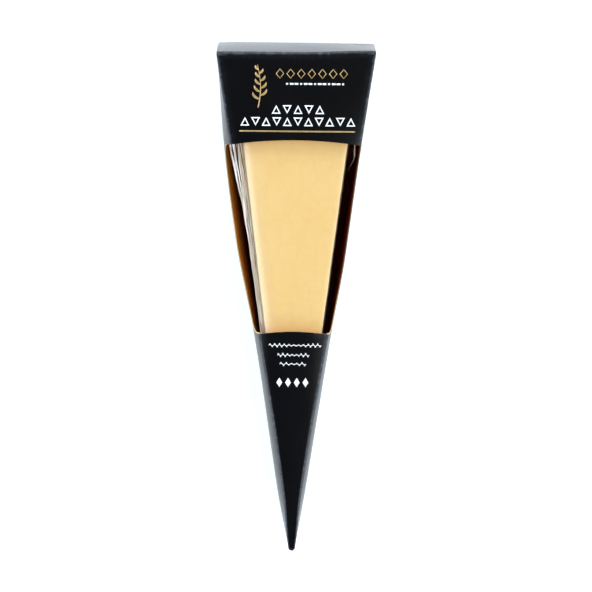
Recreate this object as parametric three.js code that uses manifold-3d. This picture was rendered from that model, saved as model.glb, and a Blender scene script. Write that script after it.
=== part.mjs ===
// A wedge of cheese in its retail pack: the wedge is sealed between two clear film webs and lies in a
// carton folded from one sheet of board, with a window cut across its front and down its side walls.
// Millimetres, +Z up. The pack lies on its back panel, its wide end towards +Y and its tip towards -Y.
// The origin is the middle of the pack's length and width, on the surface that it rests on.

import * as THREE from "three";
import { mergeVertices } from "three/addons/utils/BufferGeometryUtils.js";
import Module from "manifold-3d";

const wasm = await Module();
wasm.setup();

// The cheese: a sector of a wheel
const cheeseLength = 184; // nose to the middle of the rind
const cheeseEndWidth = 49; // across the rind
const cheeseHeight = 38;
const cheeseNoseRadius = 1.95;
const cheeseEdgeRadius = 1.5; // the long edges, worn by handling
const cheeseCornerRadius = 1.5; // the two upright edges at the rind
const rindSag = 1.6; // how far the rind's curve stands out at its middle

// The film: an upper and a lower web, sealed to each other in a flange
const filmThickness = 0.15;
const sealWidth = 2.4; // the flange, beyond the film on the cheese
const sealWidthAtLeast = 0.6; // where the walls of the carton squeeze it
const flangeClearance = 0.6; // from the flange to those walls
const touchGap = 0.3; // between pieces that lie against each other

// The carton
const boardThickness = 0.45;
const headroom = 1.9; // from the upper film to the front panel
const sideClearance = 6.55; // from the cheese to the inside of each side wall, at the wide end
const noseClearance = 0.52; // from the film to the inside of each side wall, beside the nose
const cartonTipRadius = 1.2;
const cartonCornerRadius = 0.9;
const foldRadius = 0.8; // outside the folds between the panels and the walls
const wallBow = 2.5; // how far the side walls swell out beside the window
const coneBow = 1.3; // and towards the tip, where the front panel holds them
const bowChangeLength = 36; // from one to the other
const wallBowHeight = 0.72; // where they swell most, as a share of the depth
const endBowLength = 75; // the walls straighten over this length beside the end panel
const tipBowLength = 30; // and over this one beside the tip

// The window
const windowFromTip = 87; // along the folds
const windowLength = 75;
const windowSideDepth = 11; // how far it runs down each side wall
const windowCornerRadius = 9;
const bandArch = 2; // how far its edge at the wide end curves up between the folds
const coneCrown = 1.2; // the same for its edge at the tip's end

// Fineness of the meshes
const wallStep = 8;
const arcStep = Math.PI / 10;
const bowLevels = 10;
const foldLevels = 2;
const windowSteps = 24;
const smallestEdge = 0.01; // shorter ones, left by the cuts, are closed up

const skinOffset = touchGap + filmThickness;
const cheeseFloor = boardThickness + touchGap + skinOffset;
const cheeseTop = cheeseFloor + cheeseHeight;
const sealHeight = cheeseFloor + cheeseHeight / 2;
const cartonDepth = cheeseTop + skinOffset + headroom + boardThickness;
const endClearance = skinOffset + sealWidth + touchGap; // from the rind to the end panel
const cartonEndWidth = cheeseEndWidth + 2 * (sideClearance + boardThickness);
const tipClearance = reachOfTip(cheeseLength + endClearance + boardThickness);
const cartonLength = tipClearance + cheeseLength + endClearance + boardThickness;
const tipY = -cartonLength / 2;
const endY = cartonLength / 2;
const noseY = tipY + tipClearance;
const windowFromY = tipY + windowFromTip;

const boardMaterial = new THREE.MeshStandardMaterial({ color: 0x131418, roughness: 0.4, metalness: 0 });
const cheeseMaterial = new THREE.MeshStandardMaterial({ color: 0xf6d48f, roughness: 0.5, metalness: 0 });
const filmMaterial = new THREE.MeshStandardMaterial({
  color: 0xf2f3f1,
  roughness: 0.12,
  metalness: 0,
  transparent: true,
  opacity: 0.3,
});

// How far the tip reaches beyond the cheese's nose: the taper of the panels, which are lengthBehind
// longer than the reach, has to leave the nose its clearance
function reachOfTip(lengthBehind) {
  const widening = cartonEndWidth / 2 - cartonTipRadius;
  const besideNose = cheeseNoseRadius + skinOffset + noseClearance + boardThickness;
  const beforeNose = (besideNose - cartonTipRadius) * lengthBehind - cheeseNoseRadius * widening;
  return beforeNose / (cartonEndWidth / 2 - besideNose);
}

// Outlines

// Points of an arc, both ends included
function arcPoints(cx, cy, radius, from, to) {
  const count = Math.max(1, Math.ceil(Math.abs(to - from) / arcStep));
  return Array.from({ length: count + 1 }, (_, i) => {
    const angle = from + ((to - from) * i) / count;
    return new THREE.Vector2(cx + radius * Math.cos(angle), cy + radius * Math.sin(angle));
  });
}

// Points between two others, the two left out
function pointsBetween(a, b, step) {
  const count = Math.ceil(a.distanceTo(b) / step);
  return Array.from({ length: count - 1 }, (_, i) => a.clone().lerp(b, (i + 1) / count));
}

// A wedge seen from above, anticlockwise from the middle of its tip: a round tip, straight sides that run
// tangent to it, rounded corners, and an end that is straight or stands out by sag.
function wedgeOutline({ fromY, toY, endWidth, tipRadius, cornerRadius, sag = 0, step = wallStep }) {
  const tip = new THREE.Vector2(0, fromY + tipRadius);
  const corner = new THREE.Vector2(endWidth / 2 - cornerRadius, toY - sag - cornerRadius);
  const along = corner.clone().sub(tip);
  const facing = along.angle() - Math.acos((tipRadius - cornerRadius) / along.length());
  const tipArc = arcPoints(tip.x, tip.y, tipRadius, -Math.PI / 2, facing);
  const cornerArc = arcPoints(corner.x, corner.y, cornerRadius, facing, Math.PI / 2);
  const side = pointsBetween(tipArc[tipArc.length - 1], cornerArc[0], step);
  const right = [...tipArc, ...side, ...cornerArc];
  const left = right.slice(1).reverse().map((p) => new THREE.Vector2(-p.x, p.y));
  const end = pointsBetween(right[right.length - 1], left[0], wallStep);
  end.forEach((p) => (p.y += sag * (1 - (p.x / corner.x) ** 2)));
  return [...right, ...end, ...left];
}

// The outward direction at each point of an outline
function outwardDirections(outline) {
  return outline.map((p, i) => {
    const before = outline[(i + outline.length - 1) % outline.length];
    const after = outline[(i + 1) % outline.length];
    return new THREE.Vector2(after.y - before.y, before.x - after.x).normalize();
  });
}

// Solids

function solidOf(geometry) {
  const merged = mergeVertices(geometry.deleteAttribute("normal").deleteAttribute("uv"), 1e-4);
  const mesh = new wasm.Mesh({
    numProp: 3,
    vertProperties: new Float32Array(merged.getAttribute("position").array),
    triVerts: new Uint32Array(merged.index.array),
  });
  return new wasm.Manifold(mesh);
}

// An outline carried up through the heights, moved outwards at each by offsetAt(point, height)
function formedPrism(outline, heights, offsetAt) {
  const steps = heights.length - 1;
  const geometry = new THREE.ExtrudeGeometry(new THREE.Shape(outline), { depth: steps, steps, bevelEnabled: false });
  const directions = outwardDirections(outline);
  const position = geometry.getAttribute("position");
  for (let i = 0; i < position.count; i++) {
    const here = new THREE.Vector2(position.getX(i), position.getY(i));
    const index = outline.findIndex((p) => p.distanceTo(here) < 1e-3);
    const height = heights[Math.round(position.getZ(i))];
    here.addScaledVector(directions[index], offsetAt(outline[index], height));
    position.setXYZ(i, here.x, here.y, height);
  }
  return solidOf(geometry);
}

// Heights from low to high, close together where the edges are rounded
function roundedHeights(low, high, radius, middleCount) {
  const rises = Array.from({ length: foldLevels + 1 }, (_, i) => {
    return radius * (1 - Math.cos((Math.PI / 2) * (i / foldLevels)));
  });
  const span = high - low - 2 * radius;
  const middle = Array.from({ length: middleCount - 1 }, (_, i) => low + radius + (span * (i + 1)) / middleCount);
  return [...rises.map((rise) => low + rise), ...middle, ...rises.map((rise) => high - rise).reverse()];
}

// How far a rounded edge has drawn the outline in at a height
function edgeInset(height, low, high, radius) {
  const toCentre = radius - Math.min(height - low, high - height, radius);
  return radius - Math.sqrt(radius ** 2 - toCentre ** 2);
}

function namedMesh(name, solid, material) {
  const { vertProperties, triVerts } = solid.simplify(smallestEdge).getMesh();
  const geometry = new THREE.BufferGeometry();
  geometry.setAttribute("position", new THREE.BufferAttribute(new Float32Array(vertProperties), 3));
  geometry.setIndex(new THREE.BufferAttribute(new Uint32Array(triVerts), 1));
  geometry.computeVertexNormals();
  const mesh = new THREE.Mesh(geometry, material);
  mesh.name = name;
  return mesh;
}

// The carton

const panelOutline = wedgeOutline({
  fromY: tipY,
  toY: endY,
  endWidth: cartonEndWidth,
  tipRadius: cartonTipRadius,
  cornerRadius: cartonCornerRadius,
});

// Half the width of the front panel, between its folds
function foldHalfWidth(y) {
  const along = (y - tipY) / cartonLength;
  return THREE.MathUtils.lerp(cartonTipRadius, cartonEndWidth / 2, along);
}

// How far a side wall stands out from its folds
function bowAt(y, height) {
  const intoEnd = Math.max(0, (y - endY + endBowLength) / endBowLength);
  const intoTip = Math.max(0, (tipY + tipBowLength - y) / tipBowLength);
  const alongWall = (1 - Math.min(1, intoEnd) ** 2) * (1 - Math.min(1, intoTip) ** 2);
  const besideWindow = THREE.MathUtils.smoothstep(y, windowFromY, windowFromY + bowChangeLength);
  const bow = THREE.MathUtils.lerp(coneBow, wallBow, besideWindow);
  const skew = Math.log(0.5) / Math.log(wallBowHeight);
  return bow * alongWall * Math.sin(Math.PI * (height / cartonDepth) ** skew);
}

// The carton's outside, or its inside with inset as the board's thickness
function cartonBody(inset) {
  const low = inset;
  const high = cartonDepth - inset;
  const radius = foldRadius - Math.min(inset, foldRadius / 2);
  return formedPrism(panelOutline, roundedHeights(low, high, radius, bowLevels), (point, height) => {
    return bowAt(point.y, height) - inset - edgeInset(height, low, high, radius);
  });
}

// The window's cutter: its profile, seen from the side, run across the pack, with both ends of it
// curved between the folds to the band's arch and the cone's crown
function windowCutter() {
  const from = windowFromY;
  const to = from + windowLength;
  const sill = cartonDepth - windowSideDepth + windowCornerRadius;
  const profile = new THREE.Shape([
    new THREE.Vector2(to, cartonDepth + boardThickness),
    new THREE.Vector2(from, cartonDepth + boardThickness),
    ...arcPoints(from + windowCornerRadius, sill, windowCornerRadius, Math.PI, 1.5 * Math.PI),
    ...arcPoints(to - windowCornerRadius, sill, windowCornerRadius, 1.5 * Math.PI, 2 * Math.PI),
  ]);
  const across = cartonEndWidth + 4 * wallBow;
  const geometry = new THREE.ExtrudeGeometry(profile, { depth: across, steps: windowSteps, bevelEnabled: false });
  geometry.translate(0, 0, -across / 2);
  const lengthwise = new THREE.Vector3(0, 1, 0);
  const upwards = new THREE.Vector3(0, 0, 1);
  const sideways = new THREE.Vector3(1, 0, 0);
  geometry.applyMatrix4(new THREE.Matrix4().makeBasis(lengthwise, upwards, sideways));
  const position = geometry.getAttribute("position");
  for (let i = 0; i < position.count; i++) {
    const y = position.getY(i);
    const rise = Math.max(0, 1 - (position.getX(i) / foldHalfWidth(y)) ** 2);
    position.setY(i, y + rise * THREE.MathUtils.lerp(coneCrown, bandArch, (y - from) / windowLength));
  }
  return solidOf(geometry);
}

function carton() {
  return cartonBody(0).subtract(cartonBody(boardThickness)).subtract(windowCutter());
}

// The cheese and its film

const cheeseOutline = wedgeOutline({
  fromY: noseY,
  toY: noseY + cheeseLength,
  endWidth: cheeseEndWidth,
  tipRadius: cheeseNoseRadius,
  cornerRadius: cheeseCornerRadius,
  sag: rindSag,
});

// The cheese, or the same form grown on every side
function cheeseBody(grow) {
  const low = cheeseFloor - grow;
  const high = cheeseTop + grow;
  const radius = Math.min(cheeseEdgeRadius, 0.8 * cheeseNoseRadius) + grow;
  return formedPrism(cheeseOutline, roundedHeights(low, high, radius, 1), (point, height) => {
    return grow - edgeInset(height, low, high, radius);
  });
}

// How far the flange stands out beside a point of the cheese: its full width, or less where the walls are close
function flangeReach(point) {
  const wall = foldHalfWidth(point.y) + bowAt(point.y, sealHeight) - boardThickness;
  const room = wall - flangeClearance - Math.abs(point.x) - skinOffset;
  return skinOffset + THREE.MathUtils.clamp(room, sealWidthAtLeast, sealWidth);
}

// One web: the film on its half of the cheese, with its layer of the flange
function filmWeb(isUpper) {
  const skin = cheeseBody(skinOffset).subtract(cheeseBody(touchGap));
  const sealFace = isUpper ? sealHeight + touchGap / 2 : sealHeight - touchGap / 2;
  const farFace = isUpper ? cartonDepth : 0;
  const flangeFace = isUpper ? sealFace + filmThickness : sealFace - filmThickness;
  const ordered = (a, b) => [Math.min(a, b), Math.max(a, b)];
  const half = formedPrism(cheeseOutline, ordered(sealFace, farFace), () => skinOffset + sealWidth);
  const flange = formedPrism(cheeseOutline, ordered(sealFace, flangeFace), flangeReach);
  const hollow = formedPrism(cheeseOutline, ordered(0, cartonDepth), () => touchGap);
  return skin.intersect(half).add(flange.subtract(hollow));
}

const pack = new THREE.Group();
pack.add(
  namedMesh("carton", carton(), boardMaterial),
  namedMesh("film_upper_web", filmWeb(true), filmMaterial),
  namedMesh("film_lower_web", filmWeb(false), filmMaterial),
  namedMesh("cheese_wedge", cheeseBody(0), cheeseMaterial),
);

export default pack;
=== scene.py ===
import bpy, bmesh
from math import sin, cos, pi, acos, atan2, sqrt, radians, exp, log
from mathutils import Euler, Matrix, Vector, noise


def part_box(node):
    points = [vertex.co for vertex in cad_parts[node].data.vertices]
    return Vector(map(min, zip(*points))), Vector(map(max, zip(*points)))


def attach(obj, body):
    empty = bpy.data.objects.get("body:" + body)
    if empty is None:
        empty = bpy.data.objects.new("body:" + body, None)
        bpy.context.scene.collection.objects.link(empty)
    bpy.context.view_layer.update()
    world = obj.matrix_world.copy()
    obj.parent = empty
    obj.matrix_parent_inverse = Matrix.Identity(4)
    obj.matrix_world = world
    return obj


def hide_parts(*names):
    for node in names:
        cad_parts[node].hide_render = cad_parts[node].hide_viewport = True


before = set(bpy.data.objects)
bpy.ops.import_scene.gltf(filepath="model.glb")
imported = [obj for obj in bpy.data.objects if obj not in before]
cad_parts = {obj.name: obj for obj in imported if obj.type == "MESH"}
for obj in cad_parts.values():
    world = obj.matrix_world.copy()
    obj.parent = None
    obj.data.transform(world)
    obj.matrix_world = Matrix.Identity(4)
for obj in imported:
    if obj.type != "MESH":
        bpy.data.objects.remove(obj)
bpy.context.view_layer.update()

mm = 0.001


def clamp(value, low=0.0, high=1.0):
    return max(low, min(high, value))


def smooth(low, high, value):
    t = clamp((value - low) / (high - low))
    return t * t * (3 - 2 * t)


def lerp(a, b, t):
    return a + (b - a) * t


def bumpAt(value, centre, width):
    return exp(-((value - centre) / width) ** 2)


def tint(code):  # a screen colour to the linear one that shaders use
    parts = [int(code[i:i + 2], 16) / 255 for i in (0, 2, 4)]
    return tuple(c / 12.92 if c < 0.04045 else ((c + 0.055) / 1.055) ** 2.4 for c in parts) + (1.0,)


def wobble(x, y, z, size):  # smooth noise from -1 to 1, size is the length of one lump
    return noise.noise(Vector((x, y, z)) / size)


class Num:  # one shader value, and an expression on it adds the Math nodes
    def __init__(self, look, socket):
        self.look, self.socket = look, socket

    def __add__(self, other):
        return self.look.maths("ADD", self, other)

    def __sub__(self, other):
        return self.look.maths("SUBTRACT", self, other)

    def __rsub__(self, other):
        return self.look.maths("SUBTRACT", other, self)

    def __mul__(self, other):
        return self.look.maths("MULTIPLY", self, other)

    __radd__ = __add__
    __rmul__ = __mul__


class Look:  # one material, whose values that are the same all over are given by name
    def __init__(self, name, **fixed):
        self.material = bpy.data.materials.new(name)
        self.material.use_nodes = True
        self.tree = self.material.node_tree
        self.shader = self.tree.nodes["Principled BSDF"]
        for key, value in fixed.items():
            self.shader.inputs[key.replace("_", " ")].default_value = value
        self.place = self.node("ShaderNodeTexCoord").outputs["Object"]

    def node(self, kind, settings=None, values=None):
        node = self.tree.nodes.new(kind)
        for key, value in (settings or {}).items():
            setattr(node, key, value)
        for key, value in (values or {}).items():
            self.feed(node.inputs[key], value)
        return node

    def feed(self, socket, value):
        value = value.socket if isinstance(value, Num) else value
        if isinstance(value, bpy.types.NodeSocket):
            self.tree.links.new(value, socket)
        else:
            socket.default_value = value

    def maths(self, operation, *values):
        node = self.node("ShaderNodeMath", {"operation": operation}, dict(enumerate(values)))
        return Num(self, node.outputs[0])

    def scaled(self, size, stretch):  # object places in lumps of a size in metres
        values = {"Vector": self.place, "Scale": [s / size for s in stretch]}
        return self.node("ShaderNodeMapping", values=values).outputs[0]

    def noise(self, size, stretch=(1, 1, 1), detail=3, roughness=0.5, distort=0.0):
        return self.noiseOver(self.scaled(size, stretch), detail, roughness, distort)

    def noiseOver(self, place, detail, roughness=0.5, distort=0.0):
        values = {"Vector": place, "Scale": 1.0, "Detail": detail, "Roughness": roughness}
        node = self.node("ShaderNodeTexNoise", values={**values, "Distortion": distort})
        return Num(self, node.outputs["Fac"])

    def cells(self, size, stretch=(1, 1, 1), feature="F1"):
        values = {"Vector": self.scaled(size, stretch), "Scale": 1.0}
        return Num(self, self.node("ShaderNodeTexVoronoi", {"feature": feature}, values).outputs["Distance"])

    def attribute(self, name):
        return Num(self, self.node("ShaderNodeAttribute", {"attribute_name": name}).outputs["Fac"])

    def part(self, axis):  # one coordinate, in metres
        split = self.node("ShaderNodeSeparateXYZ", values={0: self.place})
        return Num(self, split.outputs[axis])

    def step(self, value, low, high, to=(0.0, 1.0)):
        values = {"Value": value, "From Min": low, "From Max": high, "To Min": to[0], "To Max": to[1]}
        node = self.node("ShaderNodeMapRange", {"interpolation_type": "SMOOTHSTEP"}, values)
        return Num(self, node.outputs[0])

    def blend(self, amount, first, second):  # of two colours
        return self.node("ShaderNodeMix", {"data_type": "RGBA"}, {0: amount, 6: first, 7: second}).outputs[2]

    def colour(self, socket):
        self.feed(self.shader.inputs["Base Color"], socket)

    def rough(self, value):
        self.feed(self.shader.inputs["Roughness"], value)

    def bump(self, height, distance):
        node = self.node("ShaderNodeBump", values={"Height": height, "Distance": distance})
        self.feed(self.shader.inputs["Normal"], node.outputs[0])


def arcPoints(centre, radius, start, stop, count):
    angles = [lerp(start, stop, i / count) for i in range(count + 1)]
    return [centre + Vector((cos(a), sin(a))) * radius for a in angles]


def wedgeOutline(noseY, endY, endWidth, noseRadius, cornerRadius, sag, step):
    # anticlockwise from the middle of the nose, with the last point one short of the first
    nose = Vector((0, noseY + noseRadius))
    corner = Vector((endWidth / 2 - cornerRadius, endY - sag - cornerRadius))
    along = corner - nose
    facing = atan2(along.y, along.x) - acos((noseRadius - cornerRadius) / along.length)
    noseArc = arcPoints(nose, noseRadius, -pi / 2, facing, count=8)
    cornerArc = arcPoints(corner, cornerRadius, facing, pi / 2, count=6)
    a, b = noseArc[-1], cornerArc[0]
    count = round((b - a).length / step)
    side = [a.lerp(b, i / count) for i in range(1, count)]
    right = noseArc + side + cornerArc
    left = [Vector((-p.x, p.y)) for p in reversed(right[1:])]
    count = round((right[-1] - left[0]).length / step)
    end = [right[-1].lerp(left[0], i / count) for i in range(1, count)]
    for p in end:
        p.y += sag * (1 - (p.x / corner.x) ** 2)
    return right + end + left


def outwardAt(outline, i):
    before, after = outline[i - 1], outline[(i + 1) % len(outline)]
    return Vector((after.y - before.y, before.x - after.x)).normalized()


def foldedGrid(columns, rows, place, keep=lambda i, j: True, mark=None):
    # a flat grid, cut by keep and then folded into shape: place(i, j) says where each crossing goes,
    # and mark gives the looks a named amount at each
    marks = mark or {}
    form = bmesh.new()
    bmesh.ops.create_grid(form, x_segments=columns, y_segments=rows, size=0.5)
    for name in marks:
        form.verts.layers.float.new(name)
    cell = {v: (round((v.co.x + 0.5) * columns), round((v.co.y + 0.5) * rows)) for v in form.verts}
    cut = []
    for face in form.faces:
        corners = [cell[v] for v in face.verts]
        if not keep(min(c[0] for c in corners), min(c[1] for c in corners)):
            cut.append(face)
    bmesh.ops.delete(form, geom=cut, context="FACES")
    for v in form.verts:
        v.co = place(*cell[v])
        for name, amount in marks.items():
            v[form.verts.layers.float[name]] = amount(*cell[v])
    bmesh.ops.remove_doubles(form, verts=form.verts, dist=0.003 * mm)
    return form


def finished(name, form, looks, node, recalculate=True):
    if recalculate:
        bmesh.ops.recalc_face_normals(form, faces=form.faces)
    for face in form.faces:
        face.smooth = True
    mesh = bpy.data.meshes.new(name)
    form.to_mesh(mesh)
    form.free()
    piece = bpy.data.objects.new(name, mesh)
    bpy.context.scene.collection.objects.link(piece)
    for look in looks:
        mesh.materials.append(look.material)
    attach(piece, "root")
    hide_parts(node)
    return piece


studio = {
    "target": (0.0008, 0.0020, 0.040),
    "distance": 1.7,
    "towardsWideEnd": 7.2,  # degrees off the straight view down
    "turn": 0.55,
    "lens": 261.4,
    "sensor": 36,
    "clip": (0.05, 20),
    "floorSize": 3.0,
    "floorDrop": 0.3 * mm,
    "floorGlow": (0.86, 0.93, 1.0, 1),
    "glowStrength": 0.36,
    "skyTint": (0.79, 0.90, 1.0, 1),
    "wallStrength": 1.85,
    "ceilingStrength": 0.015,
    "ceilingFrom": (0.68, 0.86),  # how steeply up the walls turn into the ceiling, 1 being straight up
    "warm": (1, 0.97, 0.93),
    "cool": (0.82, 0.92, 1.0),
}


def setCamera():
    camera = bpy.data.objects.new("camera", bpy.data.cameras.new("camera"))
    bpy.context.scene.collection.objects.link(camera)
    camera.data.lens, camera.data.sensor_width = studio["lens"], studio["sensor"]
    # it looks down from over the wide end, which is at the top of the frame
    tilt = Euler((radians(-studio["towardsWideEnd"]), 0, 0)).to_matrix()
    facing = tilt @ Euler((0, 0, radians(studio["turn"]))).to_matrix()
    camera.location = Vector(studio["target"]) + facing @ Vector((0, 0, studio["distance"]))
    camera.rotation_euler = facing.to_euler()
    camera.data.clip_start, camera.data.clip_end = studio["clip"]
    bpy.context.scene.camera = camera


def setFloor():
    form = bmesh.new()
    bmesh.ops.create_grid(form, x_segments=2, y_segments=2, size=studio["floorSize"])
    bmesh.ops.translate(form, verts=form.verts, vec=(0, 0, -studio["floorDrop"]))
    mesh = bpy.data.meshes.new("floor")
    form.to_mesh(mesh)
    form.free()
    floor = bpy.data.objects.new("floor", mesh)
    bpy.context.scene.collection.objects.link(floor)
    glow = {"Emission_Color": studio["floorGlow"], "Emission_Strength": studio["glowStrength"]}
    look = Look("paleFloor", Roughness=0.9, **glow)
    look.colour(look.blend(look.noise(0.4), tint("f6f6f6"), tint("fbfbfb")))
    mesh.materials.append(look.material)


def setLight(name, place, size, power, colour):  # a box of light that faces the pack
    lamp = bpy.data.lights.new(name, "AREA")
    lamp.shape, lamp.size, lamp.size_y = "RECTANGLE", size[0], size[1]
    lamp.energy, lamp.color = power, colour
    holder = bpy.data.objects.new(name, lamp)
    holder.location = place
    holder.rotation_euler = (-Vector(place)).to_track_quat("-Z", "Y").to_euler()
    bpy.context.scene.collection.objects.link(holder)


def setRoom():
    # white walls round the set, and a dark ceiling so that the varnish stays black from above
    world = bpy.data.worlds.new("studio")
    world.use_nodes = True
    tree = world.node_tree
    place = tree.nodes.new("ShaderNodeTexCoord")
    split = tree.nodes.new("ShaderNodeSeparateXYZ")
    height = tree.nodes.new("ShaderNodeMapRange")
    ends = (*studio["ceilingFrom"], studio["wallStrength"], studio["ceilingStrength"])
    for name, value in zip(("From Min", "From Max", "To Min", "To Max"), ends):
        height.inputs[name].default_value = value
    tree.links.new(place.outputs["Generated"], split.inputs[0])
    tree.links.new(split.outputs[2], height.inputs["Value"])
    tree.links.new(height.outputs[0], tree.nodes["Background"].inputs["Strength"])
    tree.nodes["Background"].inputs[0].default_value = studio["skyTint"]
    bpy.context.scene.world = world
    setLight("leftBox", (-1.3, 0.15, 0.65), (0.8, 1.5), 10, studio["warm"])
    setLight("rightBox", (0.98, 0.05, 1.15), (0.7, 1.5), 9, studio["warm"])
    setLight("endBox", (-0.1, 1.4, 0.75), (1.5, 0.7), 7, studio["cool"])
    bpy.context.scene.view_settings.view_transform = "Standard"
    bpy.context.scene.view_settings.look = "None"


setCamera()
setFloor()
setRoom()
print("stage ready")

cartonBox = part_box("carton")
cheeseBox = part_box("cheese_wedge")

carton = {
    "tipY": cartonBox[0].y,
    "endY": cartonBox[1].y - 0.5 * mm,  # the end flap lies outside this
    "depth": cartonBox[1].z,
    "endWidth": 63 * mm,
    "tipRadius": 1.2 * mm,
    "cornerRadius": 0.7 * mm,
    "endLean": 1.4 * mm,  # the end panel leans in at the top, less on the right
    "rightLean": 0.5 * mm,
    "leanLength": 25 * mm,
    "board": 0.45 * mm,
    "foldRadius": 0.5 * mm,
    "foldDraw": 1.45 * mm,  # how far the front folds of the cone are drawn in as its walls swell
    "foldDrawY": -60 * mm,
    "foldDrawLength": 50 * mm,
    "foldDrawStart": 22 * mm,  # the length from the tip over which that sets in
    "bow": 2.5 * mm,  # how far the walls swell out beside the window
    "coneBow": 1.3 * mm,  # and towards the tip
    "bowChange": 36 * mm,
    "bowHeight": 0.72,
    "endBowLength": 75 * mm,
    "tipBowLength": 30 * mm,
    "leftSpread": 0.42,  # more bow on the left wall beside the window, as a share
    "rightSpread": (0.5, 0.25),  # the right wall's share of the bow at the cone and beside the window
    "rightSpreadBump": 0.12,
    "drawnPower": 2.5,  # how sharply the walls come in to the drawn folds
    "wave": 0.12 * mm,
    "windowFromTip": 87 * mm,
    "windowLength": 75 * mm,
    "sideDepth": 11 * mm,
    "windowCorner": 9 * mm,
    "bandArch": 2 * mm,
    "coneCrown": 1.2 * mm,
    "coneRise": 1.3 * mm,  # how far the panels bulge up at the window's ends
    "coneFade": 15 * mm,
    "bandRise": 0.6 * mm,
    "bandFade": 11 * mm,
    "crown": 0.35 * mm,
    "ripple": 0.07 * mm,
    "archReach": 14 * mm,  # how far from the window the arch fades into straight rows
    "panelCells": 20,
    "foldCells": 4,
    "wallCells": 18,
    "besideFold": 0.012,  # share of a panel taken by the narrow row that keeps its fold crisp
    "wornStrip": 0.008,  # and by the strip along its edge that gets wear and a painted highlight
    "capInset": 0.3 * mm,
}
carton["length"] = carton["endY"] - carton["tipY"]
windowFrom = carton["tipY"] + carton["windowFromTip"]
windowTo = windowFrom + carton["windowLength"]


def foldHalfWidth(y):
    return lerp(carton["tipRadius"], carton["endWidth"] / 2, (y - carton["tipY"]) / carton["length"])


def frontHalfWidth(y):
    drawn = bumpAt(y, carton["foldDrawY"], carton["foldDrawLength"])
    drawn *= smooth(carton["tipY"], carton["tipY"] + carton["foldDrawStart"], y)
    return foldHalfWidth(y) - carton["foldDraw"] * drawn


def leanAt(x, y, z):  # how far a point near the wide end is set back
    lean = lerp(carton["endLean"], carton["rightLean"], smooth(0, carton["endWidth"] / 2, x))
    lean *= smooth(carton["endY"] - carton["leanLength"], carton["endY"], y)
    return lean * clamp(z / carton["depth"]) ** 3


def bowAt(y, z):
    intoEnd = clamp((y - carton["endY"] + carton["endBowLength"]) / carton["endBowLength"])
    intoTip = clamp((carton["tipY"] + carton["tipBowLength"] - y) / carton["tipBowLength"])
    skew = log(0.5) / log(carton["bowHeight"])
    height = clamp(z / carton["depth"])
    bow = lerp(carton["coneBow"], carton["bow"], smooth(windowFrom, windowFrom + carton["bowChange"], y))
    return bow * (1 - intoEnd ** 2) * (1 - intoTip ** 2) * sin(pi * height ** skew)


def spreadAt(side, y):
    # beside the window the film's fin pushes the left wall out, and the right wall stays in
    if side > 0:
        share = lerp(*carton["rightSpread"], smooth(windowFrom + 20 * mm, windowTo, y))
        return share + carton["rightSpreadBump"] * bumpAt(y, windowFrom + 16 * mm, 20 * mm)
    fromCone = smooth(windowFrom - 22 * mm, windowFrom + 14 * mm, y)
    return 1 + carton["leftSpread"] * fromCone * smooth(windowTo + 34 * mm, windowTo, y)


def sideCut(y):  # how far the window has come down the wall at y
    corner, depth = carton["windowCorner"], carton["sideDepth"]
    toEnd = min(y - windowFrom, windowTo - y)
    if toEnd < 0:
        return 0.0
    if toEnd >= corner:
        return depth
    return depth - corner + sqrt(corner ** 2 - (corner - toEnd) ** 2)


def panelLift(x, y):  # the front panel isn't quite flat: it crowns a little and its free edges rise
    half = max(frontHalfWidth(y), 1 * mm)
    across = clamp(1 - (x / half) ** 2)
    flatTopped = clamp(1 - (x / half) ** 4)
    lift = carton["crown"] * across * smooth(carton["endY"], carton["endY"] - 30 * mm, y)
    lift *= smooth(0, 14 * mm, half)
    rise, fade = carton["coneRise"], carton["coneFade"]
    if y >= 0:
        rise, fade = carton["bandRise"], carton["bandFade"]
    toWindow = min(abs(y - windowFrom), abs(y - windowTo))
    edge = rise * flatTopped * exp(-toWindow / fade) * smooth(0, 10 * mm, half)
    return lift + edge + carton["ripple"] * wobble(x, y * 0.6, 3.1, 24 * mm) * across


def archAt(x, y):
    half = frontHalfWidth(y)
    rise = clamp(1 - (x / half) ** 2)
    reach = carton["archReach"]
    nearBand = exp(-(max(0, y - windowTo) / reach) ** 2) if y > windowTo - 1e-6 else 0
    nearCone = exp(-(max(0, windowFrom - y) / reach) ** 2) if y < windowFrom + 1e-6 else 0
    return rise * (carton["bandArch"] * nearBand + carton["coneCrown"] * nearCone)


def inside(start, stop, step):  # even places between two, about a step apart
    count = round((stop - start) / step)
    return [lerp(start, stop, i / count) for i in range(1, count)]


def cartonStations():  # the places along the carton at which its section is set
    tipRadius, corner, radius = carton["tipRadius"], carton["windowCorner"], carton["cornerRadius"]
    tip = [carton["tipY"] + tipRadius * (1 - cos(pi / 2 * i / 6)) for i in range(7)]
    end = [carton["endY"] - radius * (1 - sin(pi / 2 * i / 5)) for i in range(6)]
    rise = [corner * (1 - cos(pi / 2 * i / 9)) for i in range(10)]
    opening = [windowFrom + r for r in rise]
    closing = [windowTo - r for r in reversed(rise)]
    coneEdge, bandEdge = windowFrom - 0.02 * mm, windowTo + 0.02 * mm
    cone = inside(tip[-1], coneEdge, 2.2 * mm)
    middle = inside(opening[-1], closing[0], 3 * mm)
    band = inside(bandEdge, end[0], 2.2 * mm)
    return tip + cone + [coneEdge] + opening + middle + closing + [bandEdge] + band + end


stations = cartonStations()


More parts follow.
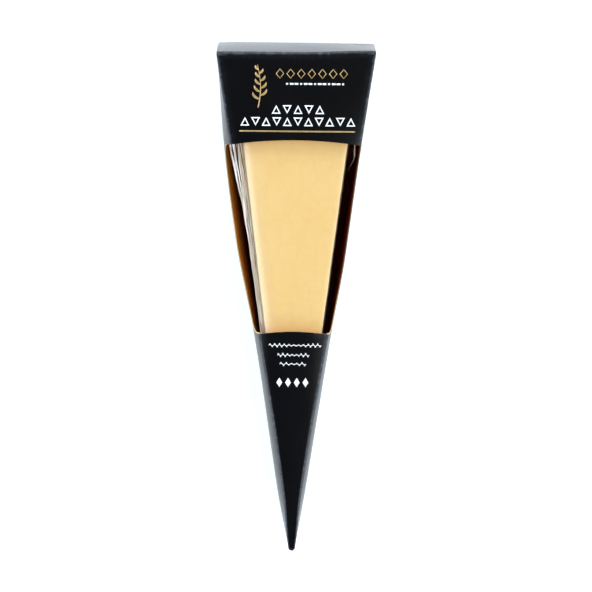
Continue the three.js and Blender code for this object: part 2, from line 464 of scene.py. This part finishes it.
def ringRows():  # once round the section, from the front panel's left fold
    panel, fold, wall = carton["panelCells"], carton["foldCells"], carton["wallCells"]
    beside = carton["besideFold"]
    rows = []
    for name, count in (("front", panel), ("foldRight", fold), ("wallRight", wall), ("foldBackRight", fold),
                        ("back", panel), ("foldBackLeft", fold), ("wallLeft", wall), ("foldLeft", fold)):
        shares = [i / count for i in range(count)]
        if not name.startswith("fold"):
            shares = [0.0, beside] + shares[1:] + [1 - beside]
        rows += [(name, share) for share in shares]
    return rows + [("front", 0.0)]


ring = ringRows()


def cartonPoint(i, j):
    y, (zone, t) = stations[i], ring[j]
    if zone == "foldLeft" and t == 0:  # this row is the left wall's upper edge
        zone, t = "wallLeft", 1.0
    depth, radius = carton["depth"], carton["foldRadius"]
    tipIn = carton["tipY"] + carton["tipRadius"] - y
    endIn = y - (carton["endY"] - carton["cornerRadius"])
    half = foldHalfWidth(y)
    if tipIn > 0:  # round the tip's upright edge
        half = foldHalfWidth(carton["tipY"] + carton["tipRadius"])
        half *= sqrt(max(0, 1 - (tipIn / carton["tipRadius"]) ** 2))
    draw = 0.0
    if endIn > 0:  # round the edges of the end panel
        draw = carton["cornerRadius"] - sqrt(max(0, carton["cornerRadius"] ** 2 - endIn ** 2))
    half = max(half - draw, 0)
    front = max(half - foldHalfWidth(y) + frontHalfWidth(y), 0)
    low, high = draw, depth - draw
    radius = min(radius, front)
    cut = sideCut(y)
    side = 1 if "Right" in zone else -1
    angle = t * pi / 2
    if zone == "front":
        x = lerp(-(front - radius), front - radius, t)
        y += archAt(x, y)
        return Vector((x, y - leanAt(x, y, high), high + panelLift(x, y)))
    if zone == "back":
        return Vector((lerp(half - radius, -(half - radius), t), y, low))
    if zone in ("foldRight", "foldLeft"):
        a = angle if side > 0 else pi / 2 - angle
        x = front - radius + radius * sin(a)
        z = high - radius + radius * cos(a)
    elif zone in ("foldBackRight", "foldBackLeft"):
        a = angle if side > 0 else pi / 2 - angle
        x = half - radius + radius * cos(a)
        z = low + radius - radius * sin(a)
    else:
        down = t if side > 0 else 1 - t
        top = min(high - radius, depth - cut)
        z = lerp(top, low + radius, down)
        swell = carton["bowHeight"] * depth
        x = lerp(half, front, clamp((z - swell) / (depth - swell)) ** carton["drawnPower"])
    wave = carton["wave"] * wobble(side * 3, y, z, 26 * mm) * sin(pi * clamp(z / depth))
    x = side * (x + bowAt(y, z) * spreadAt(side, y) + wave)
    return Vector((x, y - leanAt(x, y, z), z))


def cartonKeeps(i, j):
    zone = ring[j][0]
    inWindow = stations[i] > windowFrom - 1e-7 and stations[i + 1] < windowTo + 1e-7
    return not (inWindow and zone in ("front", "foldRight", "foldLeft"))


def foldMark(i, j):  # 1 on the folds and at the edges of the panels, where the coating wears and a painted highlight lies
    y, (zone, t) = stations[i], ring[j]
    worn = 1.0 if zone.startswith("fold") else 0.0
    if zone in ("front", "back"):
        worn = max(bumpAt(t, 0, carton["wornStrip"]), bumpAt(t, 1, carton["wornStrip"]))
    onEndFold = bumpAt(y, carton["endY"] - 0.6 * mm, 0.5 * mm)
    return max(worn, 0.15 * onEndFold, smooth(carton["tipY"] + 1.2 * mm, carton["tipY"] + 0.3 * mm, y))


def boardLooks():
    outer = Look("blackVarnish", IOR=1.37)
    fibres = outer.noise(0.35 * mm, detail=4, roughness=0.6)
    mottle = outer.noise(14 * mm, (1, 0.6, 1))
    patches = outer.step(outer.noise(2.2 * mm, detail=4, roughness=0.6), 0.45, 0.7)
    # the folds and panel edges are lightened, partly by coating wear and partly by a painted highlight along
    # the folds
    wearAndSheen = outer.attribute("worn") * (0.35 + patches * 0.65)
    ink = outer.blend(mottle, tint("060607"), tint("0a0a0d"))
    outer.colour(outer.blend(wearAndSheen * 0.6, ink, tint("5a606c")))
    outer.rough(0.19 + fibres * 0.06 + mottle * 0.06 + wearAndSheen * 0.10)
    outer.bump(fibres * 0.12 + outer.noise(7 * mm, detail=2) * 1.6, 0.02 * mm)

    inner = Look("brownKraft", Roughness=0.85, IOR=1.2)
    fibre = inner.noise(1.1 * mm, (1, 0.25, 1), detail=5, roughness=0.65)
    cloud = inner.noise(9 * mm, roughness=0.55)
    specks = inner.step(inner.noise(0.5 * mm, (1, 0.4, 1), detail=2), 0.66, 0.76)
    brown = inner.blend(fibre, tint("f28a32"), tint("ffb456"))
    brown = inner.blend(cloud * 0.5, brown, tint("f68f36"))
    brown = inner.blend(specks * 0.4, brown, tint("6a3610"))
    # the painted shade rises further up the right wall, the side away from the light
    rightWallShade = inner.step(inner.part(0), -4 * mm, 10 * mm)
    height = inner.part(2) + cloud * (6 * mm) - rightWallShade * (20 * mm)
    paintedShade = inner.step(height, 12 * mm, 29 * mm, (1.0, 0.0))  # painted shade: a maroon wash darkens the inside lower down, reaching higher on the shaded right wall
    inner.colour(inner.blend(paintedShade * 0.94, brown, tint("7a1a0a")))
    inner.bump(fibre, 0.05 * mm)

    edge = Look("boardEdge", Roughness=0.85)
    grain = edge.noise(0.25 * mm, detail=4, roughness=0.7)
    rightEdgeShade = edge.step(edge.part(0), 14 * mm, 20 * mm) * 0.8  # painted shade: the cut edge is darkened on the right wall, the shaded side
    edge.colour(edge.blend(rightEdgeShade, edge.blend(grain, tint("b89c6c"), tint("dfcba2")), tint("1c1009")))
    edge.bump(grain, 0.03 * mm)
    return outer, inner, edge


boardSides = boardLooks()  # outside, inside and cut edge


def giveBoard(piece):  # the sheet gets its thickness inwards, with kraft inside and a cut edge
    wall = piece.modifiers.new("board", "SOLIDIFY")
    wall.thickness, wall.offset = carton["board"], -1
    wall.material_offset, wall.material_offset_rim = 1, 2
    return wall


def makeCarton():
    form = foldedGrid(len(stations) - 1, len(ring) - 1, cartonPoint, cartonKeeps, {"worn": foldMark})
    bmesh.ops.recalc_face_normals(form, faces=form.faces)
    # close the wide end with the end panel
    rim = [e for e in form.edges if e.is_boundary and all(v.co.y > carton["endY"] - 3 * mm for v in e.verts)]
    cap = bmesh.ops.holes_fill(form, edges=rim, sides=0)["faces"]
    bmesh.ops.inset_individual(form, faces=cap, thickness=carton["capInset"], use_even_offset=True)
    for v in {v for face in cap for v in face.verts}:  # the panel itself gets no wear and no painted highlight
        v[form.verts.layers.float["worn"]] = 0.0
    bmesh.ops.recalc_face_normals(form, faces=form.faces)
    piece = finished("cartonBoard", form, boardSides, "carton", recalculate=False)
    giveBoard(piece).use_even_offset = True


endFlap = {
    "outer": cartonBox[1].y,
    "hinge": 1.0 * mm,
    "halfWidth": 31.3 * mm,
    "leftSlope": 2.0 * mm,  # how far each side edge leans in on the way down
    "rightSlope": 13.0 * mm,
    "reach": 36.0 * mm,
    "corner": 5.0 * mm,
    "tucked": 0.5 * mm,  # how far the flap starts in over the front panel
    "swell": 0.35 * mm,
    "wave": 0.12 * mm,
    "across": 24,
    "bendCells": 6,
    "downCells": 22,
}


def makeEndFlap():
    # the flap that closes the wide end: it folds over from the front panel and is glued down
    depth, outer, hinge = carton["depth"], endFlap["outer"], endFlap["hinge"]
    reach, corner = endFlap["reach"], endFlap["corner"]
    path = [(outer - hinge - endFlap["tucked"], depth + 0.01 * mm)]
    for k in range(endFlap["bendCells"] + 1):
        a = pi / 2 * (1 - k / endFlap["bendCells"])
        path.append((outer - hinge + hinge * cos(a), depth - hinge + hinge * sin(a)))
    for k in range(1, endFlap["downCells"] + 1):
        t = k / endFlap["downCells"]
        path.append((outer + endFlap["swell"] * sin(pi * t), depth - hinge - (reach - hinge) * t))

    def place(i, j):
        y, z = path[j]
        down = clamp((depth - z) / reach)
        toEnd = reach * (1 - down)
        trim = corner - sqrt(max(0, corner ** 2 - max(0, corner - toEnd) ** 2))
        left = -endFlap["halfWidth"] + endFlap["leftSlope"] * down + trim
        right = endFlap["halfWidth"] - endFlap["rightSlope"] * down - trim
        x = lerp(left, right, i / endFlap["across"])
        wave = endFlap["wave"] * wobble(x, y, z, 15 * mm) * down
        return Vector((x, y - leanAt(x, carton["endY"], z) + wave, z))

    # the end flap's fold gets the same wear and painted highlight
    def mark(i, j):
        return bumpAt(path[j][1], depth - 0.3 * mm, 0.5 * mm)

    form = foldedGrid(endFlap["across"], len(path) - 1, place, mark={"worn": mark})
    bmesh.ops.recalc_face_normals(form, faces=form.faces)
    if sum(face.normal.y for face in form.faces) < 0:
        bmesh.ops.reverse_faces(form, faces=form.faces)
    giveBoard(finished("cartonEndFlap", form, boardSides, "carton", recalculate=False))


makeCarton()
makeEndFlap()
print("carton made")

# the ornaments on the front panel
prints = {
    "lift": 0.025 * mm,
    "thickness": 0.015 * mm,
    "sprig": (-14.2 * mm, 85.2 * mm, 17 * mm),  # middle and length
    "stemLine": 0.42 * mm,
    "leafLine": 0.95 * mm,
    "leaves": 9,
    "diamonds": (-8.4 * mm, 20.8 * mm, 90.2 * mm, 7),  # from, to, y and how many
    "diamondSize": (3.3 * mm, 4.0 * mm, 0.36 * mm),  # across, up and the line's width
    "rule": (-22.2 * mm, 23.4 * mm, 67.5 * mm),
    "ruleLine": 0.55 * mm,
    "dashes": (-4.4 * mm, 19.4 * mm, 86.2 * mm, 13),
    "dashHalf": (0.4 * mm, 0.75 * mm, 0.75 * mm),  # half the length of each three in turn
    "dashLine": 0.7 * mm,
    "peaks": ((-9.8 * mm, 11.6 * mm, 76.1 * mm, 5), (-22.0 * mm, 23.8 * mm, 71.3 * mm, 11)),
    "peakSize": (3.6 * mm, 3.4 * mm, 0.44 * mm),
    "waves": ((-9.8 * mm, 11.0 * mm, -17.3 * mm), (-6.4 * mm, 6.2 * mm, -21.2 * mm),
              (-5.4 * mm, 5.0 * mm, -24.8 * mm)),
    "waveStep": 1.9 * mm,
    "waveHeight": 0.75 * mm,
    "waveLine": 0.27 * mm,
    "lozenges": (-7.2 * mm, 6.6 * mm, -32.2 * mm, 4),
    "lozengeSize": (2.3 * mm, 3.8 * mm),
}


def onPanel(x, y):
    return Vector((x, y, carton["depth"] + panelLift(x, y) + prints["lift"]))


class PrintPlate:  # gathers the strips of one ink
    def __init__(self):
        self.form = bmesh.new()

    def add(self, part):
        mesh = bpy.data.meshes.new("strip")
        part.to_mesh(mesh)
        part.free()
        self.form.from_mesh(mesh)
        bpy.data.meshes.remove(mesh)

    def stroke(self, path, width, count):  # path(t) gives (x, y) and width(t) the width, for t from 0 to 1
        def place(i, j):
            t = i / count
            here, along = Vector(path(t)), Vector(path(min(1, t + 0.01))) - Vector(path(max(0, t - 0.01)))
            across = Vector((-along.y, along.x)).normalized()
            return onPanel(*(here + across * width(t) * (0.5 - j)))

        self.add(foldedGrid(count, 1, place))

    def ring(self, x, y, corners, inner):  # an outline whose hole is a share inner of its size
        middle = sum(corners, Vector((0, 0))) / len(corners)

        def place(i, j):
            corner = corners[i % len(corners)]
            corner = corner if j == 0 else middle.lerp(corner, inner)
            return onPanel(x + corner.x, y + corner.y)

        self.add(foldedGrid(len(corners), 1, place))

    def diamond(self, x, y, wide, high, line=None):  # a full one where no line is given
        right, top = Vector((wide / 2, 0)), Vector((0, high / 2))
        self.ring(x, y, (right, top, -right, -top), 1 - line / (wide / 2) if line else 0)

    def peak(self, x, y, up, wide, high, line):  # an open triangle, with up 1 or, point down, -1
        top, foot = high / 2 * up, -high / 2 * up
        corners = [Vector((0, top)), Vector((-wide / 2, foot)), Vector((wide / 2, foot))]
        side = (corners[1] - corners[0]).length
        inRadius = wide * high / (2 * side + wide)
        self.ring(x, y, corners, 1 - line / inRadius)

    def finish(self, name, look):
        bmesh.ops.recalc_face_normals(self.form, faces=self.form.faces)
        for face in self.form.faces:
            if face.normal.z < 0:
                face.normal_flip()
        piece = finished(name, self.form, (look,), "carton", recalculate=False)
        layer = piece.modifiers.new("layer", "SOLIDIFY")
        layer.thickness, layer.offset = prints["thickness"], 1


def goldLook():
    look = Look("goldFoil", Metallic=1.0)
    grain = look.noise(0.5 * mm, detail=4, roughness=0.65)
    look.colour(look.blend(look.noise(4 * mm), tint("98794a"), tint("cdb280")))
    look.rough(0.34 + grain * 0.14)
    look.bump(grain, 0.012 * mm)
    return look


def whiteInkLook():
    look = Look("whiteInk")
    grain = look.noise(0.3 * mm, detail=4, roughness=0.7)
    look.colour(look.blend(grain, tint("e4e6e8"), tint("fafafa")))
    look.rough(0.45 + grain * 0.15)
    return look


def spaced(start, stop, count):  # the middles of so many even shares
    return [lerp(start, stop, (i + 0.5) / count) for i in range(count)]


def printSprig(plate):
    middleX, middleY, length = prints["sprig"]

    def stem(t):  # it bends to one side and back
        return middleX + 1.5 * mm * sin(2.6 * t + 0.4) - 1.2 * mm, middleY + length * (t - 0.5)

    plate.stroke(stem, lambda t: prints["stemLine"] * (1 - 0.6 * t), 24)
    for k in range(prints["leaves"]):  # in turn on either side, and smaller towards the top
        side = 1 if k % 2 else -1
        rootX, rootY = stem(0.2 + 0.085 * k)
        reach, rise = (2.9 - 0.2 * k) * mm, (2.7 - 0.12 * k) * mm

        def leaf(t):
            return rootX + side * reach * sin(t * pi / 2) * 0.95, rootY + rise * t ** 1.5

        plate.stroke(leaf, lambda t: prints["leafLine"] * sin(pi * clamp(0.06 + 0.9 * t)) ** 0.8, 10)


def printDashes(plate):
    start, stop, y, count = prints["dashes"]
    for k, x in enumerate(spaced(start, stop, count)):
        half = prints["dashHalf"][k % 3]
        plate.stroke(lambda t: (x - half + 2 * half * t, y), lambda t: prints["dashLine"], 1)


def printWave(plate, start, stop, y):
    turns = round((stop - start) / prints["waveStep"])

    def wave(t):
        high = prints["waveHeight"] * (0.7 + 0.3 * sin(9 * t))
        return lerp(start, stop, t) + 0.35 * mm * sin(4 * pi * turns * t), y + high * sin(2 * pi * turns * t)

    plate.stroke(wave, lambda t: prints["waveLine"], 16 * turns)


def makePrints():
    gold, white = PrintPlate(), PrintPlate()
    printSprig(gold)
    start, stop, y, count = prints["diamonds"]
    for x in spaced(start, stop, count):
        gold.diamond(x, y, *prints["diamondSize"])
    ruleFrom, ruleTo, ruleY = prints["rule"]
    gold.stroke(lambda t: (lerp(ruleFrom, ruleTo, t), ruleY), lambda t: prints["ruleLine"], 24)

    printDashes(white)
    for start, stop, y, count in prints["peaks"]:
        for k, x in enumerate(spaced(start, stop, count)):
            white.peak(x, y, -1 if k % 2 else 1, *prints["peakSize"])
    for wave in prints["waves"]:
        printWave(white, *wave)
    start, stop, y, count = prints["lozenges"]
    for x in spaced(start, stop, count):
        white.diamond(x, y, *prints["lozengeSize"])
    gold.finish("goldPrint", goldLook())
    white.finish("whitePrint", whiteInkLook())


makePrints()
print("prints made")

cheese = {
    "noseY": cheeseBox[0].y,
    "endY": cheeseBox[1].y,
    "floor": cheeseBox[0].z,
    "top": cheeseBox[1].z,
    "endWidth": 49 * mm,
    "noseRadius": 1.95 * mm,
    "cornerRadius": 1.5 * mm,
    "edgeRadius": 1.5 * mm,
    "leftBevel": 2.7 * mm,  # the upper left edge is pressed rounder than the others
    "sag": 1.6 * mm,  # the rind's curve
    "step": 2 * mm,
    "lumps": 0.10 * mm,
    "pits": 0.05 * mm,
    "crumbs": 0.08 * mm,
    "cutLines": 0.02 * mm,
    "cutLinesApart": 2.3 * mm,
}
cheeseEdge = wedgeOutline(cheese["noseY"], cheese["endY"], cheese["endWidth"], cheese["noseRadius"],
                          cheese["cornerRadius"], cheese["sag"], cheese["step"])
cheeseFacing = [outwardAt(cheeseEdge, i) for i in range(len(cheeseEdge))]
spine = (cheese["noseY"] + cheese["noseRadius"], cheese["endY"] - cheese["endWidth"] / 2)


def acrossTop(point, t):  # from the outline at 0 to the middle line at 1
    middle = Vector((0, clamp(point.y, *spine)))
    return point.lerp(middle, t)


def blockRows(edgeCells=4, sideCells=18, faceCells=10):
    rows = [("under", i / faceCells) for i in range(faceCells)]
    rows += [("lowEdge", i / edgeCells) for i in range(edgeCells)]
    rows += [("side", i / sideCells) for i in range(sideCells)]
    rows += [("highEdge", i / edgeCells) for i in range(edgeCells)]
    rows += [("over", i / faceCells) for i in range(faceCells + 1)]
    return rows


def blockPoint(i, row, grow):
    # a point of the cheese's form grown by grow: (position, how it faces)
    zone, t = row
    point, facing = cheeseEdge[i % len(cheeseEdge)], cheeseFacing[i % len(cheeseEdge)]
    upper = lerp(cheese["edgeRadius"], cheese["leftBevel"], smooth(0.5, 0.95, -facing.x))
    inset = upper if zone in ("highEdge", "over") else cheese["edgeRadius"]
    radius = inset + grow
    low, high = cheese["floor"] - grow, cheese["top"] + grow
    if zone == "under":
        flat = acrossTop(point - facing * inset, 1 - t)
        return Vector((*flat, low)), Vector((0, 0, -1))
    if zone == "over":
        flat = acrossTop(point - facing * inset, t)
        return Vector((*flat, high)), Vector((0, 0, 1))
    if zone == "side":
        flat = point + facing * grow
        return Vector((*flat, lerp(low + radius, high - upper - grow, t))), Vector((*facing, 0))
    angle = t * pi / 2 if zone == "highEdge" else pi / 2 * (1 - t)
    flat = point + facing * (grow - radius + radius * cos(angle))
    z = high - radius + radius * sin(angle) if zone == "highEdge" else low + radius - radius * sin(angle)
    out = Vector((*(facing * cos(angle)), sin(angle) * (1 if zone == "highEdge" else -1)))
    return Vector((*flat, z)), out


def cheeseLook():
    look = Look("paleCheese", Subsurface_Weight=0.25, Subsurface_Radius=(1.0, 0.55, 0.2),
                Subsurface_Scale=2.2 * mm, Coat_Weight=0.12, Coat_Roughness=0.3)
    cloud = look.noise(16 * mm, (1, 0.7, 1), roughness=0.55)
    curd = look.noise(2.6 * mm, detail=4, roughness=0.6)
    fine = look.noise(0.45 * mm, detail=4, roughness=0.65)
    veins = look.step(look.cells(7 * mm, (1, 0.6, 1), "DISTANCE_TO_EDGE"), 0.0, 0.10, (1.0, 0.0))
    crystals = look.step(look.cells(3.1 * mm), 0.05, 0.11, (1.0, 0.0))
    crystals = crystals * look.step(look.noise(5 * mm), 0.5, 0.62)
    wire = look.noise(1.4 * mm, (0.12, 1, 1), detail=2)
    body = look.blend(cloud, tint("d6b26c"), tint("ddbc7d"))
    body = look.blend(look.step(curd, 0.3, 0.7) * 0.22, body, tint("d6a95a"))
    body = look.blend(veins * 0.07, body, tint("c99448"))
    body = look.blend(crystals * 0.35, body, tint("f2dcae"))
    rind = look.step(look.part(1), cheese["endY"] - 3.2 * mm, cheese["endY"] - 1.2 * mm)
    skin = look.blend(look.noise(3 * mm, detail=5, roughness=0.65), tint("b98b46"), tint("d8ad66"))
    look.colour(look.blend(rind, body, skin))
    look.rough(0.42 + curd * 0.16 + rind * 0.15)
    look.bump(curd * 0.5 + fine * 0.25 + wire * 0.3 - veins * 0.15 + crystals * 0.3, 0.07 * mm)
    return look


def makeCheese():
    rows = blockRows()

    def place(i, j):
        point, out = blockPoint(i, rows[j], 0)
        rough = cheese["lumps"] * wobble(*point, 5 * mm) + cheese["pits"] * wobble(*point, 1.7 * mm)
        if "Edge" in rows[j][0]:  # crumbled and pressed along the cut edges
            rough += cheese["crumbs"] * (wobble(*point, 3 * mm) - 0.5)
        bend = 2 * wobble(point.x, point.y, 0, 20 * mm)
        rough += cheese["cutLines"] * sin(point.y / cheese["cutLinesApart"] + bend)
        return point + out * rough

    form = foldedGrid(len(cheeseEdge), len(rows) - 1, place)
    finished("cheese", form, (cheeseLook(),), "cheese_wedge")


makeCheese()
print("cheese made")

film = {
    "gap": 0.3 * mm,
    "sealZ": (cheese["floor"] + cheese["top"]) / 2,
    "flangeCells": 24,
    "finRise": 14.5 * mm,  # the left flange stands up this far beside the cheese, and then lies over
    "finSlope": 16,  # degrees
    # how far out the fin's free edge stands, as y and reach in mm
    "finReach": ((-30, 1.0), (-10, 1.7), (14, 1.9), (26, 2.2), (40, 3.2), (52, 4.1), (61, 5.6)),
    "tucked": (0.0, 3.0 * mm, -60),  # the right flange's rise, width and degrees, tucked down by the wall
    "raised": (11 * mm, 3.6 * mm, 35),  # and raised near the band
    "endWidth": 2.6 * mm,  # the flange at the wide end, and at the nose
    "noseWidth": 1.0 * mm,
    "webGap": 0.12 * mm,
    "sealOut": 0.25 * mm,  # the seal starts this far outside the close fit
    "wallGap": 0.4 * mm,
    "ridge": 0.32 * mm,  # waves along the flange, and lumps of falling size
    "ridgeApart": 1.7 * mm,
    "billow": 0.5 * mm,
    "crumple": 0.3 * mm,
    "sway": 0.35 * mm,
    "fray": 0.25 * mm,
    "loose": 0.10 * mm,  # how far the film stands off its close fit
    "sidePleat": 0.28 * mm,
    "sideLumps": 0.08 * mm,
    "edgePleat": 0.16 * mm,
    "topPleat": 0.10 * mm,
    "topLumps": 0.12 * mm,
}


def finReachAt(y):
    bends = film["finReach"]
    for (fromY, fromReach), (toY, toReach) in zip(bends, bends[1:]):
        if y < toY * mm:
            return lerp(fromReach, toReach, clamp((y / mm - fromY) / (toY - fromY))) * mm
    return bends[-1][1] * mm


def flangeShape(i):
    # how far the flange stands up, how wide it lies over from there, and the angle of that stretch
    point, facing = cheeseEdge[i % len(cheeseEdge)], cheeseFacing[i % len(cheeseEdge)]
    along = smooth(cheese["noseY"] + 22 * mm, cheese["noseY"] + 60 * mm, point.y)
    if facing.x < 0:
        rise, over, angle = film["finRise"] * along, finReachAt(point.y) * along, radians(film["finSlope"])
    else:
        raised = smooth(windowTo - 13 * mm, windowTo - 1 * mm, point.y)
        rise, over, angle = (lerp(a, b, raised) for a, b in zip(film["tucked"], film["raised"]))
        angle = radians(angle)
    weight = smooth(0.5, 0.95, abs(facing.x))
    other = film["endWidth"] if facing.y > 0 else film["noseWidth"]
    return rise * weight, lerp(other, max(over, film["noseWidth"]), weight), angle * weight


def flangePoint(i, out):
    # (outwards, upwards) along the flange's section: out goes from 0 at the seal to 1 at the free edge
    rise, over, angle = flangeShape(i)
    standing = 0.25 if rise > 0 else 0.0  # this share of the rows is on the part that stands up
    if out < standing:
        return 0.0, rise * out / standing
    t = (out - standing) / (1 - standing)
    bend = smooth(0, 0.35, t)
    return over * t * cos(angle), rise + over * t * sin(angle) + 0.12 * over * sin(pi * t) * bend


def filmRows(faceCells=14, sideCells=14, edgeCells=5):
    rows = [("flange", i / film["flangeCells"]) for i in range(film["flangeCells"])]
    rows += [("side", 0.5 + 0.5 * i / sideCells) for i in range(sideCells)]
    rows += [("highEdge", i / edgeCells) for i in range(edgeCells)]
    rows += [("over", i / faceCells) for i in range(faceCells + 1)]
    return rows


def filmPoint(i, row, upper):
    zone, t = row
    point, facing = cheeseEdge[i % len(cheeseEdge)], cheeseFacing[i % len(cheeseEdge)]
    x, y = point
    flip = 1 if upper else -1
    if zone == "flange":
        out = 1 - t
        outwards, upwards = flangePoint(i, out)
        lying = smooth(0.25, 0.5, out) * min(outwards / (2 * mm), 1)
        ridges = sin(2 * pi * outwards / film["ridgeApart"] + 5 * wobble(0, y, 1.0, 30 * mm))
        coarse, fine = wobble(x, y, 5.0, 12 * mm), wobble(x * 3, y * 0.6, 7.0, 2.6 * mm)
        upwards += lying * (film["ridge"] * ridges + film["billow"] * coarse + film["crumple"] * fine)
        outwards += lying * (film["sway"] * coarse + film["fray"] * wobble(x, y, 2.0, 5 * mm))
        flat = point + facing * (film["gap"] + film["sealOut"] + max(outwards, 0))
        room = foldHalfWidth(flat.y) + bowAt(flat.y, film["sealZ"]) - carton["board"] - film["wallGap"]
        flat.x = clamp(flat.x, -room, room)
        return Vector((*flat, film["sealZ"] + upwards + flip * film["webGap"] * 0.5))
    place, out = blockPoint(i, (zone, t), film["gap"])
    pleat = max(0, wobble(x * 2, y, 0.3, 2.6 * mm))
    loose = film["loose"]
    if zone == "side":
        loose += film["sidePleat"] * pleat * (1 - abs(2 * t - 1.5))
        loose += film["sideLumps"] * max(0, wobble(x, y, place.z, 6 * mm))
    elif zone == "highEdge":
        loose += film["edgePleat"] * pleat
    else:
        nearEdge = (1 - t) ** 2
        lumps = max(0, wobble(place.x * 2.2, place.y * 0.35, 9.0, 5 * mm))
        loose += film["topPleat"] * pleat * nearEdge + film["topLumps"] * lumps * (0.35 + nearEdge)
    place = place + out * loose
    if not upper:
        place.z = cheese["floor"] + cheese["top"] - place.z
    return place


def filmLook():
    look = Look("clearFilm", IOR=1.5)
    facing = Num(look, look.node("ShaderNodeLayerWeight", values={"Blend": 0.28}).outputs["Facing"])
    across, run, creaseAndGlare = look.attribute("across"), look.attribute("run"), look.attribute("creaseAndGlare")

    def overFlange(acrossFine, runFine, shift):  # places on the flange, stretched along its free edge
        values = {0: across * acrossFine, 1: run * runFine, 2: shift}
        return look.node("ShaderNodeCombineXYZ", values=values).outputs[0]

    folds = look.noiseOver(overFlange(6.5, 46, 0.0), detail=3, roughness=0.55, distort=0.7)
    # painted highlight: a white line along the flange's free edge
    rim = look.step(across, 0.86, 0.92) * look.attribute("hemGlint")
    nearBand = look.step(run, 46 * mm, 60 * mm)
    # painted glare: the flange's crinkles are coloured white where they catch the light
    white = look.step(folds - nearBand * 0.04, 0.36, 0.44)
    streaks = look.step(look.noiseOver(overFlange(22, 90, 3.0), detail=2), 0.45, 0.62)
    crinkle = look.noise(2.2 * mm, (1, 0.5, 1), detail=5, roughness=0.6, distort=0.8)
    look.rough(0.10 + crinkle * 0.12)
    flange = look.step(across, 0.0, 0.04)
    # the flange's white base colour is painted glare, strongest on the lit left side
    glareWhiteness = look.maths("MINIMUM", 1 - flange + flange * creaseAndGlare * white * 1.3 + rim, 1.0)
    # painted shade: the see-through film is coloured dark brown like the shaded kraft behind it
    shadedSeeThrough = look.blend(streaks, tint("33201c"), tint("4a3630"))
    bright = look.maths("MAXIMUM", streaks, 1 - flange)
    glareColour = look.blend(bright, tint("cfc2b2"), look.blend(flange, tint("fff6e2"), tint("ffffff")))
    look.colour(look.blend(glareWhiteness, shadedSeeThrough, glareColour))
    # the painted glare is also made more opaque
    body = 0.02 + facing * (0.05 + creaseAndGlare * 0.17) + creaseAndGlare * (1 - flange) * 0.30
    body = body + flange * creaseAndGlare * (0.06 + white * 0.84) + rim * 0.8
    look.feed(look.shader.inputs["Alpha"], look.maths("MINIMUM", body, 0.95))
    look.bump(crinkle + streaks * 0.5, 0.18 * mm)
    return look


def filmMarks(rows):
    def creaseAndGlare(i, j):  # how milky the film is and how much painted glare it gets, strongest on the lit left side and most in the left fin
        zone, t = rows[j]
        # the left side faces the light, so it gets the painted glare
        leftLit = clamp(0.5 - cheeseFacing[i % len(cheeseEdge)].x)
        if zone == "flange":
            return lerp(0.01, 1.0, smooth(0.3, 0.9, leftLit))
        if zone == "over":
            return 0.3 * leftLit * (1 - t) ** 6
        return 0.08 + 0.5 * leftLit

    def across(i, j):  # 0 at the seal and over the cheese, 1 at the free edge
        zone, t = rows[j]
        return 1 - t if zone == "flange" else 0.0

    def run(i, j):
        return cheeseEdge[i % len(cheeseEdge)].y

    def hemGlint(i, j):  # a painted highlight along the free edge, on the right only where the flange stands up
        point, facing = cheeseEdge[i % len(cheeseEdge)], cheeseFacing[i % len(cheeseEdge)]
        return 1.0 if facing.x < -0.5 else smooth(windowTo - 15 * mm, windowTo - 9 * mm, point.y)

    return {"creaseAndGlare": creaseAndGlare, "across": across, "run": run, "hemGlint": hemGlint}


def makeFilm(name, node, upper, look):
    rows = filmRows()

    def place(i, j):
        return filmPoint(i, rows[j], upper)

    form = foldedGrid(len(cheeseEdge), len(rows) - 1, place, mark=filmMarks(rows))
    finished(name, form, (look,), node)


clearFilm = filmLook()
makeFilm("filmUpper", "film_upper_web", True, clearFilm)
makeFilm("filmLower", "film_lower_web", False, clearFilm)
print("film made")
